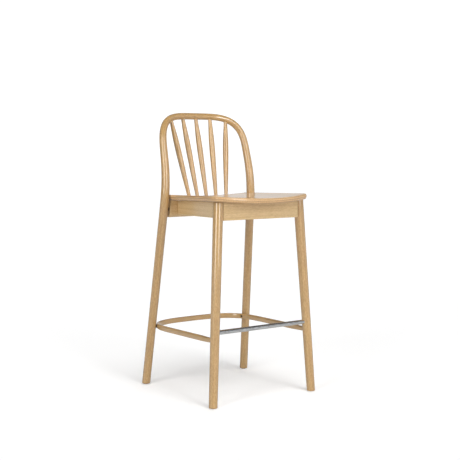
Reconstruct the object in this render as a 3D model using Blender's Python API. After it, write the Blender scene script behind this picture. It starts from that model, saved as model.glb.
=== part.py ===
"""Bar stool with a bent hoop back, five spindles and a low footrest.

Metres, +Z up. The stool faces -Y, X = 0 is its plane of symmetry and the floor
is Z = 0. Every wooden joint is a tenon in a mortise with a small clearance.
"""
import math

import bmesh
import bpy
import numpy as np

# ---- driving dimensions ---------------------------------------------------
GAP = 0.0003                    # clearance between touching pieces
CUT_GAP = 0.0004                # clearance all round a tenon in its mortise
OVERRUN = 0.020                 # how far an open-ended cutter runs past its surface
FRAME_SLOPE = math.tan(math.radians(1.0))   # the seat and ring fall to the rear

GLIDE_PROUD = 0.0015            # how far the glides lift the feet off the floor
GLIDE_RADIUS = 0.0095
GLIDE_STEM = (0.0035, 0.014)    # radius and length of the stem inside the foot
GLIDE_EDGE = 0.0004             # bevel on the disc's lower edge
FOOT_ROUND = (0.0015, 0.002)    # how far in and how high the foot's edge is bevelled

SEAT_HEIGHT = 0.7525            # top of the seat at the middle
SEAT_THICKNESS = 0.020
SEAT_DISH = 0.0105              # how much higher the sides are than the middle
SEAT_DISH_HALF_WIDTH = 0.205    # where that rise is measured
SEAT_HALF_WIDTH = 0.214         # at the front corners
SEAT_FRONT = -0.2845            # front edge on the plane of symmetry
SEAT_REAR = 0.176               # rear edge on the plane of symmetry
SEAT_REAR_RADIUS = 0.60
SEAT_CORNER_RADIUS = 0.035
SEAT_CORNER_Y = -0.205          # centre of the front corner arcs
POST_NOTCH_RADIUS = 0.023       # round notch of the seat around each rear post
POST_NOTCH_TURN = (234, 142)    # degrees, from the side edge to the rear edge
POST_TIP_INSET = 0.015          # how far inside the post the rear edge starts
SEAT_MIDDLE = (0.0, -0.05)      # point that the panel's inner rows shrink to
SEAT_TOP_ROUND = 0.005
SEAT_BOTTOM_ROUND = 0.003

FRONT_FOOT = (0.2286, -0.2332)  # axis of the front foot on the floor
FRONT_LEAN = (-0.0594, 0.0412)  # how the axis moves for each metre of height
FRONT_LEG_RADIUS = (0.0162, 0.0191)         # at the floor and under the seat
FRONT_LEG_TOP_ROOM = 0.0035     # room over its flat top for the sloping seat

REAR_FOOT = (0.2397, 0.2332)
REAR_LEAN_X = -0.0463
REAR_RAKE = math.radians(7.4)   # the rear legs lean forward going up
RECLINE = math.radians(14.0)    # the back leans rearward
WAIST_HEIGHT = 0.785            # where the bent rod runs straight up
WAIST_RADIUS = 0.46
ARCH_START = 0.930
ARCH_TOP = 1.068
ARCH_SIDE_POWER = 4.1
ARCH_RISE_POWER = 3.0
BACK_BOW = 0.044                # how far the arch bows rearward at its middle
ROD_RADIUS = ((0.0, 0.0164), (0.76, 0.0169), (0.93, 0.0147), (1.07, 0.0131))

RAIL_THICKNESS = 0.020
END_RAIL_LOW = 0.6737           # lower edge of front and rear rails at Y = 0
SIDE_RAIL_LOW = 0.6827          # lower edge of the side rails at Y = 0
FRONT_RAIL_Y = -0.2075
REAR_RAIL_Y = 0.141
REAR_RAIL_HALF = (0.1880, 0.1835)           # half length at its lower and upper edge
SIDE_RAIL_FRONT = (0.176, -0.186)           # middle of the side rail at the front leg
SIDE_RAIL_REAR = 0.141          # X of its middle at the rear rail
RAIL_LEVEL_X = 0.15             # X where the height of a rail's middle is taken
TENON_THICKNESS = 0.009
TENON_LENGTH = 0.014
FRONT_TENON_HALF_HEIGHT = 0.022
TENON_ROOT = 0.012              # length of a front tenon's root inside its rail
SIDE_TENON_LENGTH = (0.012, 0.010)          # in the front leg and in the rear rail
SIDE_TENON_HALF_HEIGHT = (0.016, 0.020)
SIDE_TENON_ROOT = 0.006

RING_HEIGHT = 0.2385            # middle of the ring at Y = 0
RING_HALF_WIDTH = 0.2175
RING_STRAIGHT_END = 0.090       # Y where the arms start to curve
RING_DEPTH = 0.1865             # from there to the rearmost point
RING_POWER = 3.0
RING_FRONT = (0.2125, -0.2130)  # end of an arm, inside its front leg
RING_SECTION = (0.0068, 0.0104) # half thickness and half height
RING_END_HALF_HEIGHT = 0.0082
RING_END_TAPER = 0.075
RING_ARRIS = 0.55               # corner radius as a share of the half thickness
RING_TENON = (0.0048, 0.004, 0.020)         # radius, length past the arm, root

BAR_HEIGHT = 0.2725
BAR_RADIUS = 0.0086
BAR_INSERT = 0.010              # how deep the bar enters each front leg

SPINDLES = 5
SPINDLE_BASE_STEP = 0.0445
SPINDLE_BASE_Y = 0.1562
SPINDLE_BASE_BOW = 0.0027
SPINDLE_TOP_STEP = 0.0658
SPINDLE_IN_SEAT = 0.012         # how deep a spindle enters the seat
SPINDLE_IN_ROD = 0.007          # and the bent rod
SPINDLE_PROFILE = ((0.0, 0.0070), (0.12, 0.0080), (0.32, 0.0100), (0.55, 0.01145),
                   (0.72, 0.0108), (0.84, 0.0090), (0.925, 0.0072), (1.0, 0.0072))

RING_SCREW_RECESS = 0.003
RING_SCREW_SHORT = 0.004        # how far short of the leg's axis the screw stops
SPACER_RADIUS = 0.0070
SLANT_ROOM = 0.0009             # room at each end of a spacer, for the slanted faces
STUD_RADIUS = 0.003
STUD_IN_LEG = 0.012
STUD_IN_RAIL = 0.034
NUT_FROM_RAIL_END = 0.026
NUT_SIZE = (0.005, 0.014)       # radius and length of a barrel nut
SCREW_RADIUS = 0.002
SCREW_HEAD = (0.0040, 0.0025)   # radius and height
SEAT_SCREW_LENGTH = 0.032
SEAT_SCREW_SUNK = 0.008         # depth of its head in the block's underside
SEAT_SCREW_PLACE = 0.16         # from the inner corner, in block sides
BLOCK_SCREW_BEHIND = 0.013      # from the rail's face back to the head
BLOCK_SCREW_DEPTH = {"end": 0.012, "side": 0.010}   # length inside the rail
BLOCK_SCREW_DROP = {"end": 0.010, "side": 0.021}    # below the seat
BLOCK_LEG = 0.050               # side of a corner block along its rails
BLOCK_HEIGHT = 0.030
BLOCK_BEVEL = 0.006             # corner left off where the rails meet

OAK = ((0.60, 0.41, 0.22, 1.0), 0.35, 0.0)
OAK_EDGE = ((0.50, 0.32, 0.17, 1.0), 0.4, 0.0)
POLISHED_STEEL = ((0.72, 0.73, 0.75, 1.0), 0.18, 1.0)
ZINC = ((0.62, 0.62, 0.60, 1.0), 0.35, 1.0)
BLACK_NYLON = ((0.02, 0.02, 0.02, 1.0), 0.5, 0.0)

SIDE = {-1: "_left", 1: "_right"}
CORNERS = [(place, side) for place in ("front", "rear") for side in (-1, 1)]


# ---- scene and materials --------------------------------------------------
def clear_scene():
    for old in list(bpy.data.objects):
        bpy.data.objects.remove(old, do_unlink=True)


def material(name, finish):
    colour, roughness, metallic = finish
    made = bpy.data.materials.new(name)
    made.use_nodes = True
    shader = made.node_tree.nodes["Principled BSDF"]
    shader.inputs["Base Color"].default_value = colour
    shader.inputs["Roughness"].default_value = roughness
    shader.inputs["Metallic"].default_value = metallic
    return made


def add_piece(name, mesh, finish, smooth_angle=35.0):
    mesh.materials.append(material(name + "_finish", finish))
    mesh.shade_smooth()
    mesh.set_sharp_from_angle(angle=math.radians(smooth_angle))
    piece = bpy.data.objects.new(name, mesh)
    bpy.context.scene.collection.objects.link(piece)
    return piece


def cut(piece, mesh, name):
    """Take the cutter's mesh out of the piece with an exact Boolean."""
    cutter = bpy.data.objects.new(name, mesh)
    bpy.context.scene.collection.objects.link(cutter)
    cutter.hide_render = True
    cutter.display_type = "WIRE"
    boolean = piece.modifiers.new(name, "BOOLEAN")
    boolean.operation = "DIFFERENCE"
    boolean.object = cutter


# ---- mesh makers ----------------------------------------------------------
def loft(loops, name="loft", closed=False):
    """Skin equal loops of points, capping both ends unless the row is closed."""
    shape = bmesh.new()
    rows = [[shape.verts.new(point) for point in loop] for loop in loops]
    count = len(rows[0])
    pairs = list(zip(rows, rows[1:]))
    if closed:
        pairs.append((rows[-1], rows[0]))
    for low, high in pairs:
        for i in range(count):
            j = (i + 1) % count
            shape.faces.new((low[i], low[j], high[j], high[i]))
    if not closed:
        shape.faces.new(reversed(rows[0]))
        shape.faces.new(rows[-1])
    bmesh.ops.recalc_face_normals(shape, faces=shape.faces)
    mesh = bpy.data.meshes.new(name)
    shape.to_mesh(mesh)
    shape.free()
    return mesh


def circle(centre, across, up, radius, sides):
    turns = np.arange(sides) * 2 * math.pi / sides
    return [centre + radius * (math.cos(t) * across + math.sin(t) * up) for t in turns]


def axes_for(direction):
    """Two directions square to the given one and to each other."""
    along = np.asarray(direction, float) / np.linalg.norm(direction)
    helper = np.array((0.0, 0.0, 1.0)) if abs(along[2]) < 0.9 else np.array((1.0, 0.0, 0.0))
    across = np.cross(helper, along)
    across /= np.linalg.norm(across)
    return along, across, np.cross(along, across)


def turned(start, direction, stations, sides, name="turned"):
    """A turned piece: (distance, radius) stations along a straight axis."""
    along, across, up = axes_for(direction)
    start = np.asarray(start, float)
    return loft([circle(start + d * along, across, up, r, sides) for d, r in stations], name)


def box_between(start, end, half_width, half_height, name="tenon"):
    """A straight box from start to end, upright, with the given half sizes."""
    start, end = np.asarray(start, float), np.asarray(end, float)
    along = (end - start) / np.linalg.norm(end - start)
    side = np.cross((0.0, 0.0, 1.0), along)
    side /= np.linalg.norm(side)
    rise = np.array((0.0, 0.0, 1.0))
    corners = [(-1, -1), (1, -1), (1, 1), (-1, 1)]
    loops = [[p + a * half_width * side + b * half_height * rise for a, b in corners]
             for p in (start, end)]
    return loft(loops, name)


# ---- curves of the design -------------------------------------------------
def seat_top(x, y):
    return SEAT_HEIGHT + SEAT_DISH * (x / SEAT_DISH_HALF_WIDTH) ** 2 - FRAME_SLOPE * y


def front_axis(side, z):
    return np.array((side * (FRONT_FOOT[0] + FRONT_LEAN[0] * z),
                     FRONT_FOOT[1] + FRONT_LEAN[1] * z, z))


def front_radius(z):
    low, high = FRONT_LEG_RADIUS
    return low + (high - low) * z / SEAT_HEIGHT


def rod_side_y(z):
    """Side view of the rod: raked line, waist arc, reclined line."""
    arc_low = WAIST_HEIGHT - WAIST_RADIUS * math.sin(REAR_RAKE)
    arc_high = WAIST_HEIGHT + WAIST_RADIUS * math.sin(RECLINE)
    waist_y = (REAR_FOOT[1] - arc_low * math.tan(REAR_RAKE)
               - WAIST_RADIUS * (1 - math.cos(REAR_RAKE)))
    raked = REAR_FOOT[1] - z * math.tan(REAR_RAKE)
    inside = np.clip((z - WAIST_HEIGHT) / WAIST_RADIUS, -0.99, 0.99)
    arc = waist_y + WAIST_RADIUS * (1 - np.sqrt(1 - inside ** 2))
    reclined = (waist_y + WAIST_RADIUS * (1 - math.cos(RECLINE))
                + (z - arc_high) * math.tan(RECLINE))
    return np.where(z < arc_low, raked, np.where(z > arc_high, reclined, arc))


def rod_radius(z):
    heights, radii = zip(*ROD_RADIUS)
    return np.interp(z, heights, radii)


def half_rod_path():
    """Points of the +X half of the rod, from the floor to the top of the arch."""
    leg = np.linspace(0.0, ARCH_START, 400)
    turn = np.linspace(0.0, math.pi / 2, 800)[1:]
    rise = np.sin(turn) ** (2 / ARCH_RISE_POWER)
    z = np.concatenate((leg, ARCH_START + (ARCH_TOP - ARCH_START) * rise))
    narrowing = np.concatenate((np.ones(len(leg)), np.cos(turn) ** (2 / ARCH_SIDE_POWER)))
    line = REAR_FOOT[0] + REAR_LEAN_X * z
    x = line * narrowing
    x[-1] = 0.0
    y = rod_side_y(z) + BACK_BOW * (1 - (x / line) ** 2)
    return np.stack((x, y, z), axis=1)


def at_height(path, z):
    return np.array([np.interp(z, path[:, 2], path[:, k]) for k in range(3)])


def half_ring_path():
    """Plan of the +X half of the ring: a straight arm, then a superellipse."""
    arm = np.linspace(0.0, 1.0, 200)[:-1, None]
    front = np.array(RING_FRONT)
    bend = np.array((RING_HALF_WIDTH, RING_STRAIGHT_END))
    straight = front + (bend - front) * arm
    turn = np.linspace(0.0, math.pi / 2, 600)
    curve = np.stack((RING_HALF_WIDTH * np.cos(turn) ** (2 / RING_POWER),
                      RING_STRAIGHT_END + RING_DEPTH * np.sin(turn) ** (2 / RING_POWER)), 1)
    curve[-1, 0] = 0.0
    plan = np.concatenate((straight, curve))
    return np.column_stack((plan, RING_HEIGHT - FRAME_SLOPE * plan[:, 1]))


def mirrored(half):
    """Join a half path that ends on X = 0 to its mirror image."""
    other = half[::-1][1:] * np.array((-1.0, 1.0, 1.0))
    return np.concatenate((half, other))


def resample(path, marks):
    lengths = np.concatenate(((0.0,), np.cumsum(np.linalg.norm(np.diff(path, axis=0), axis=1))))
    marks = np.asarray(marks) * lengths[-1]
    return np.stack([np.interp(marks, lengths, path[:, k]) for k in range(3)], axis=1)


def unit_tangents(path):
    tangents = np.gradient(path, axis=0)
    return tangents / np.linalg.norm(tangents, axis=1)[:, None]


def sweep_frames(path):
    """Two unit normals carried along a path without twisting."""
    tangents = unit_tangents(path)
    normals = [axes_for(tangents[0])[1]]
    for tangent in tangents[1:]:
        kept = normals[-1] - tangent * np.dot(normals[-1], tangent)
        normals.append(kept / np.linalg.norm(kept))
    normals = np.array(normals)
    return normals, np.cross(tangents, normals)


# ---- sub-parts ------------------------------------------------------------
def build_hoop():
    """Rear legs and back: one bent round rod, foot to foot."""
    half = half_rod_path()
    half = half[half[:, 2] >= GLIDE_PROUD]
    marks = np.concatenate((np.linspace(0.0, 0.28, 4)[:-1], np.linspace(0.28, 0.5, 26)))
    marks = np.concatenate((marks, (1 - marks[::-1])[1:]))
    path = resample(mirrored(half), marks)
    normals, others = sweep_frames(path)
    loops = [circle(p, n, b, float(rod_radius(p[2])), 16)
             for p, n, b in zip(path, normals, others)]
    for loop in (loops[0], loops[-1]):
        for point in loop:
            point[2] = GLIDE_PROUD
    piece = add_piece("bent_hoop_frame", loft(loops), OAK)
    for k, (base, top) in enumerate(spindle_axes()):
        cut(piece, spindle_end(base, top, 1), "spindle_hole_cutter_%d" % (k + 1))
    for side in (-1, 1):
        cut(piece, stud_shape(side, CUT_GAP), "frame_stud_cutter" + SIDE[side])
        cut(piece, ring_screw_shape(side, CUT_GAP), "ring_screw_cutter" + SIDE[side])
        cut(piece, glide_stem(side * REAR_FOOT[0], REAR_FOOT[1], CUT_GAP),
            "rear_glide_cutter" + SIDE[side])
    return piece


def build_front_leg(side):
    """Turned and tapered leg, with mortises for the rails, bar and ring."""
    seat = float(seat_top(*front_axis(side, SEAT_HEIGHT)[:2]))
    top = seat - SEAT_THICKNESS - FRONT_LEG_TOP_ROOM
    edge_in, edge_up = FOOT_ROUND
    loops = []
    for z in (GLIDE_PROUD, GLIDE_PROUD + edge_up, 0.25, 0.5, 0.665, top):
        shrink = edge_in if z == GLIDE_PROUD else 0.0
        loops.append(circle(front_axis(side, z), np.array((1.0, 0, 0)), np.array((0, 1.0, 0)),
                            front_radius(z) - shrink, 24))
    piece = add_piece("front_leg" + SIDE[side], loft(loops), OAK)
    cut(piece, front_rail_tenon(side, CUT_GAP), "front_rail_mortise" + SIDE[side])
    cut(piece, side_rail_tenon(side, 0, CUT_GAP), "side_rail_mortise" + SIDE[side])
    cut(piece, bar_shape(CUT_GAP), "bar_hole" + SIDE[side])
    cut(piece, ring_tenon(side, CUT_GAP), "ring_mortise" + SIDE[side])
    cut(piece, glide_stem(side * FRONT_FOOT[0], FRONT_FOOT[1], CUT_GAP),
        "front_glide_cutter" + SIDE[side])
    return piece


def arc(centre, radius, start, end, steps):
    """Plan points on an arc, angles in degrees, both ends included."""
    turns = np.radians(np.linspace(start, end, steps + 1))
    return [(centre[0] + radius * math.cos(t), centre[1] + radius * math.sin(t)) for t in turns]


def seat_outline():
    """Plan of the seat: front arc, corner arcs, straight sides, post notches, rear arc."""
    corner_x = SEAT_HALF_WIDTH - SEAT_CORNER_RADIUS
    drop = SEAT_CORNER_Y - SEAT_FRONT
    front_arc_radius = ((corner_x ** 2 + drop ** 2 - SEAT_CORNER_RADIUS ** 2)
                        / (2 * (drop - SEAT_CORNER_RADIUS)))
    front_centre = (0.0, SEAT_FRONT + front_arc_radius)
    meet = math.degrees(math.atan2(SEAT_CORNER_Y - front_centre[1], corner_x))
    post = at_height(half_rod_path(), SEAT_HEIGHT - SEAT_THICKNESS / 2)
    rear_centre = (0.0, SEAT_REAR - SEAT_REAR_RADIUS)
    tip_x = post[0] - POST_TIP_INSET
    rear_turn = math.degrees(math.asin(tip_x / SEAT_REAR_RADIUS))
    half = arc(front_centre, front_arc_radius, -90, meet, 10)
    half += arc((corner_x, SEAT_CORNER_Y), SEAT_CORNER_RADIUS, meet, 4, 5)[1:]
    half += arc(post[:2], POST_NOTCH_RADIUS, *POST_NOTCH_TURN, 6)
    half += arc(rear_centre, SEAT_REAR_RADIUS, 90 - rear_turn, 90, 6)
    half = np.array(half)
    other = half[::-1][1:-1] * np.array((-1.0, 1.0))
    return np.concatenate((half, other))


def inset(outline, distance):
    """Move each outline point inward along its corner's bisector."""
    ahead = np.roll(outline, -1, axis=0) - outline
    behind = outline - np.roll(outline, 1, axis=0)
    ahead /= np.linalg.norm(ahead, axis=1)[:, None]
    behind /= np.linalg.norm(behind, axis=1)[:, None]
    left = np.stack((-(ahead + behind)[:, 1], (ahead + behind)[:, 0]), axis=1)
    length = np.linalg.norm(left, axis=1)[:, None]
    return outline + left / length * distance / np.maximum(length / 2, 0.5)


def build_seat():
    """Dished panel with rounded arrises; its underside is parallel to its top."""
    outline = seat_outline()
    middle = np.array(SEAT_MIDDLE)
    rows = []

    def row(plan, below_top):
        rows.append([(x, y, float(seat_top(x, y)) - below_top) for x, y in plan])

    def shrunk(plan, share):
        return middle + (plan - middle) * share

    floor_plan = inset(outline, SEAT_BOTTOM_ROUND)
    for share in (0.12, 0.4, 0.7):
        row(shrunk(floor_plan, share), SEAT_THICKNESS)
    row(floor_plan, SEAT_THICKNESS)
    row(outline, SEAT_THICKNESS - SEAT_BOTTOM_ROUND)
    for degrees in (0, 45, 90):
        turn = math.radians(degrees)
        row(inset(outline, SEAT_TOP_ROUND * (1 - math.cos(turn))),
            SEAT_TOP_ROUND * (1 - math.sin(turn)))
    top_plan = inset(outline, SEAT_TOP_ROUND)
    for share in (0.7, 0.4, 0.12):
        row(shrunk(top_plan, share), 0.0)
    piece = add_piece("seat_panel", loft(rows), OAK)
    for k, (base, top) in enumerate(spindle_axes()):
        cut(piece, spindle_end(base, top, 0), "seat_hole_cutter_%d" % (k + 1))
    for place, side in CORNERS:
        cut(piece, seat_screw_shape(place, side, CUT_GAP), "seat_screw_cutter_" + place + SIDE[side])
    return piece


def underside(x, y):
    return float(seat_top(x, y)) - SEAT_THICKNESS - GAP


def rail(name, start, end, low_at_middle, ends=None):
    """Upright rail along a plan line, its top edge following the seat's underside.

    Its ends are square to X or to Y, whichever the rail mostly runs along.
    """
    start, end = np.array(start), np.array(end)
    along = (end - start) / np.linalg.norm(end - start)
    half = RAIL_THICKNESS / 2 / np.abs(along).max()
    side = np.array((half, 0.0) if abs(along[1]) > abs(along[0]) else (0.0, half))
    loops = []
    steps = 12
    for k in range(steps + 1):
        share = k / steps
        loop = []
        for sign, is_top in ((-1, 0), (1, 0), (1, 1), (-1, 1)):
            line = (start, end) if ends is None else ends[is_top]
            x, y = line[0] + (line[1] - line[0]) * share + sign * side
            z = underside(x, y) if is_top else low_at_middle - FRAME_SLOPE * y
            loop.append((x, y, z))
        loops.append(loop)
    return loft(loops, name)


def join(piece, mesh, name):
    """Add a shape to a piece with an exact Boolean union."""
    cut(piece, mesh, name)
    piece.modifiers[name].operation = "UNION"


def rail_middle_z(low, y):
    return (low - FRAME_SLOPE * y + underside(RAIL_LEVEL_X, y)) / 2


def front_rail_end(side):
    """Plan point where the front rail's middle plane meets its leg's inner side."""
    z = rail_middle_z(END_RAIL_LOW, FRONT_RAIL_Y)
    axis = front_axis(side, z)
    return side * (abs(axis[0]) - front_radius(z)), z


def front_rail_tenon(side, extra):
    x, z = front_rail_end(side)
    half_height = FRONT_TENON_HALF_HEIGHT + extra
    start = (x - side * TENON_ROOT, FRONT_RAIL_Y, z)
    end = (x + side * (TENON_LENGTH + extra), FRONT_RAIL_Y, z)
    return box_between(start, end, TENON_THICKNESS / 2 + extra, half_height)


def leg_clearance(side, extra=GAP):
    """The front leg's cone, a little larger, to shape what butts against it."""
    loops = [circle(front_axis(side, z), np.array((1.0, 0, 0)), np.array((0, 1.0, 0)),
                    front_radius(z) + extra, 24) for z in (0.12, 0.8)]
    return loft(loops)


def build_front_rail():
    x = front_rail_end(1)[0] + TENON_ROOT
    mesh = rail("front_rail", (-x, FRONT_RAIL_Y), (x, FRONT_RAIL_Y), END_RAIL_LOW)
    piece = add_piece("front_rail", mesh, OAK)
    for side in (-1, 1):
        cut(piece, leg_clearance(side), "front_leg_scribe" + SIDE[side])
        join(piece, front_rail_tenon(side, 0.0), "front_tenon" + SIDE[side])
    cut_block_screws(piece, "front", "end")
    return piece


def build_rear_rail():
    low, high = REAR_RAIL_HALF
    ends = [((-low, REAR_RAIL_Y), (low, REAR_RAIL_Y)), ((-high, REAR_RAIL_Y), (high, REAR_RAIL_Y))]
    ends = [(np.array(a), np.array(b)) for a, b in ends]
    mesh = rail("rear_rail", ends[0][0], ends[0][1], END_RAIL_LOW, ends)
    piece = add_piece("rear_rail", mesh, OAK)
    for side in (-1, 1):
        cut(piece, side_rail_tenon(side, 1, CUT_GAP), "rear_mortise" + SIDE[side])
        cut(piece, stud_shape(side, CUT_GAP), "rail_stud_cutter" + SIDE[side])
        cut(piece, nut_shape(side, CUT_GAP), "rail_nut_cutter" + SIDE[side])
    cut_block_screws(piece, "rear", "end")
    return piece


def side_rail_line(side):
    front = np.array((side * SIDE_RAIL_FRONT[0], SIDE_RAIL_FRONT[1]))
    rear = np.array((side * SIDE_RAIL_REAR, REAR_RAIL_Y - RAIL_THICKNESS / 2 - GAP))
    return front, rear


def side_rail_tenon(side, end, extra):
    """Tenon of a side rail: end 0 enters the front leg, end 1 the rear rail."""
    front, rear = side_rail_line(side)
    along = (rear - front) / np.linalg.norm(rear - front)
    spot = (front, rear)[end]
    toward = (-along, along)[end]
    reach = SIDE_TENON_LENGTH[end] + extra
    z = rail_middle_z(SIDE_RAIL_LOW, spot[1])
    start = spot - toward * SIDE_TENON_ROOT
    finish = spot + toward * reach
    half_height = SIDE_TENON_HALF_HEIGHT[end] + extra
    return box_between((*start, z), (*finish, z), TENON_THICKNESS / 2 + extra, half_height)


def build_side_rail(side):
    front, rear = side_rail_line(side)
    piece = add_piece("side_rail" + SIDE[side], rail("side_rail", front, rear, SIDE_RAIL_LOW), OAK)
    cut(piece, leg_clearance(side), "side_leg_scribe" + SIDE[side])
    for end in (0, 1):
        join(piece, side_rail_tenon(side, end, 0.0), "side_tenon_%d" % end)
    for place in ("front", "rear"):
        cut_block_screws(piece, place, "side", side)
    return piece


def spindle_axes():
    """Base on the seat's top and top on the rod's centre line, for each spindle."""
    path = half_rod_path()
    arch = path[path[:, 2] > ARCH_START]
    axes = []
    for k in range(SPINDLES):
        step = k - (SPINDLES - 1) / 2
        x, y = SPINDLE_BASE_STEP * step, SPINDLE_BASE_Y - SPINDLE_BASE_BOW * step ** 2
        base = np.array((x, y, float(seat_top(x, y))))
        wanted = SPINDLE_TOP_STEP * abs(step)
        top = np.array([np.interp(wanted, arch[::-1, 0], arch[::-1, i]) for i in range(3)])
        top[0] = math.copysign(wanted, step) if step else 0.0
        axes.append((base, top))
    return axes


def spindle_reach(base, top):
    """Where a spindle starts in the seat and stops in the rod, along its axis."""
    length = np.linalg.norm(top - base)
    return -SPINDLE_IN_SEAT, length - float(rod_radius(top[2])) + SPINDLE_IN_ROD


def spindle_end(base, top, end):
    """The hole for a spindle in the seat (end 0) or in the bent rod (end 1)."""
    along = (top - base) / np.linalg.norm(top - base)
    start, stop = spindle_reach(base, top)
    radius = SPINDLE_PROFILE[-end][1] + CUT_GAP
    if end:
        return turned(base, along, ((stop - 1.5 * OVERRUN, radius), (stop + CUT_GAP, radius)), 12)
    return turned(base, along, ((start - CUT_GAP, radius), (OVERRUN, radius)), 12)


def build_spindle(k, base, top):
    start, stop = spindle_reach(base, top)
    shares, radii = zip(*SPINDLE_PROFILE)
    marks = (0.0, 0.06, 0.14, 0.24, 0.36, 0.48, 0.60, 0.70, 0.78, 0.86, 0.925)
    body = [(share * np.linalg.norm(top - base), float(np.interp(share, shares, radii)))
            for share in marks]
    stations = [(start, radii[0])] + body + [(stop, radii[-1])]
    return add_piece("spindle_%d" % (k + 1), turned(base, top - base, stations, 12), OAK)


def ring_frame(side):
    """Where the ring comes nearest to a rear leg: its centre, the leg's axis, and outward."""
    path = half_ring_path()
    leg = at_height(half_rod_path(), RING_HEIGHT - FRAME_SLOPE * REAR_FOOT[1])
    centre = path[np.argmin(np.linalg.norm((path - leg)[:, :2], axis=1))]
    outward = leg - centre
    outward[2] = 0.0
    outward /= np.linalg.norm(outward)
    flip = np.array((side, 1.0, 1.0))
    return centre * flip, leg * flip, outward * flip


def ring_screw_shape(side, extra):
    centre, leg, outward = ring_frame(side)
    radius, height = SCREW_HEAD
    begin = -RING_SECTION[0] + RING_SCREW_RECESS
    tail = float(np.linalg.norm((leg - centre)[:2])) - RING_SCREW_SHORT
    open_end = begin - (OVERRUN if extra else 0.0)
    stations = ((open_end, radius + extra), (begin + height + extra, radius + extra),
                (begin + height + extra, SCREW_RADIUS + extra), (tail + extra, SCREW_RADIUS + extra))
    return turned(centre, outward, stations, 12)


def build_ring():
    """Bent stretcher ring: flat-sided section with rounded arrises, open in front."""
    half = half_ring_path()
    marks = np.concatenate((np.linspace(0.0, 0.1, 3)[:-1], np.linspace(0.1, 0.26, 4)[:-1],
                            np.linspace(0.26, 0.5, 16)))
    marks = np.concatenate((marks, (1 - marks[::-1])[1:]))
    full = mirrored(half)
    total = float(np.linalg.norm(np.diff(full, axis=0), axis=1).sum())
    path = resample(full, marks)
    loops = []
    for point, tangent, mark in zip(path, unit_tangents(path), marks):
        to_end = min(mark, 1 - mark) * total
        share = min(to_end / RING_END_TAPER, 1.0)
        half_height = RING_END_HALF_HEIGHT + (RING_SECTION[1] - RING_END_HALF_HEIGHT) * share
        outward = np.cross(tangent, (0.0, 0.0, 1.0))
        outward /= np.linalg.norm(outward)
        loops.append(section(point, outward, RING_SECTION[0], half_height))
    piece = add_piece("stretcher_ring", loft(loops), OAK)
    for side in (-1, 1):
        cut(piece, leg_clearance(side), "ring_leg_scribe" + SIDE[side])
        join(piece, ring_tenon(side, 0.0), "ring_tenon" + SIDE[side])
        cut(piece, ring_screw_shape(side, CUT_GAP), "ring_screw_hole" + SIDE[side])
    return piece


def section(centre, across, half_width, half_height):
    """Upright rounded rectangle: quarter ellipses of 3 steps at its corners."""
    points = []
    corner = RING_ARRIS * half_width
    for quarter in range(4):
        for step in range(3):
            turn = math.pi / 2 * (quarter + step / 2)
            a = math.copysign(half_width - corner, (1, -1, -1, 1)[quarter]) + corner * math.cos(turn)
            b = math.copysign(half_height - corner, (1, 1, -1, -1)[quarter]) + corner * math.sin(turn)
            points.append(centre + a * across + np.array((0.0, 0.0, b)))
    return points


def ring_tenon(side, extra):
    """Round tenon on the end of a ring arm, running forward into the front leg."""
    radius, length, root = RING_TENON
    x, y = side * RING_FRONT[0], RING_FRONT[1]
    start = np.array((x, y + root, RING_HEIGHT - FRAME_SLOPE * y))
    stations = ((0.0, radius + extra), (root + length + extra, radius + extra))
    return turned(start, (0.0, -1.0, 0.0), stations, 12)


def bar_shape(extra):
    axis = front_axis(1, BAR_HEIGHT)
    reach = axis[0] - front_radius(BAR_HEIGHT) + BAR_INSERT + extra
    start = (-reach, axis[1], BAR_HEIGHT)
    radius = BAR_RADIUS + extra
    return turned(start, (1.0, 0.0, 0.0), ((0.0, radius), (2 * reach, radius)), 24)


def glide_stem(x, y, extra):
    """The hole for a glide's stem, open at the foot."""
    radius, length = GLIDE_STEM
    stations = ((0.0, radius + extra), (GLIDE_PROUD + length + extra, radius + extra))
    return turned((x, y, 0.0), (0, 0, 1), stations, 10)


def build_glide(name, x, y):
    """Nylon glide: a disc under the foot with a stem pressed into it."""
    radius, length = GLIDE_STEM
    disc_top = GLIDE_PROUD - GAP
    stations = ((0.0, GLIDE_RADIUS - GLIDE_EDGE), (GLIDE_EDGE, GLIDE_RADIUS),
                (disc_top, GLIDE_RADIUS),
                (disc_top, radius), (GLIDE_PROUD + length, radius))
    return add_piece(name, turned((x, y, 0.0), (0, 0, 1), stations, 16), BLACK_NYLON)


def stud_ends(side):
    """Inner face of the rear leg and end face of the rear rail, on the stud's axis."""
    z = rail_middle_z(END_RAIL_LOW, REAR_RAIL_Y)
    leg = at_height(half_rod_path(), z)
    low, high = REAR_RAIL_HALF
    bottom, top = END_RAIL_LOW - FRAME_SLOPE * REAR_RAIL_Y, underside(RAIL_LEVEL_X, REAR_RAIL_Y)
    rail_end = low + (high - low) * (z - bottom) / (top - bottom)
    return side * (leg[0] - float(rod_radius(z))), side * rail_end, REAR_RAIL_Y, z


def stud_shape(side, extra):
    """Threaded stud that ties the rear rail's end to the rear leg."""
    leg_face, rail_end, y, z = stud_ends(side)
    start = (leg_face + side * (STUD_IN_LEG + extra), y, z)
    length = abs(start[0] - rail_end) + STUD_IN_RAIL + extra
    radius = STUD_RADIUS + extra
    return turned(start, (-side, 0.0, 0.0), ((0.0, radius), (length, radius)), 12)


def nut_shape(side, extra):
    """Barrel nut across the stud, put in from the rail's rear face."""
    _, rail_end, y, z = stud_ends(side)
    radius, length = NUT_SIZE
    open_end = OVERRUN if extra else 0.0
    start = (rail_end - side * NUT_FROM_RAIL_END, y + RAIL_THICKNESS / 2 + open_end, z)
    stations = ((0.0, radius + extra), (length + open_end + extra, radius + extra))
    return turned(start, (0.0, -1.0, 0.0), stations, 14)


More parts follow.
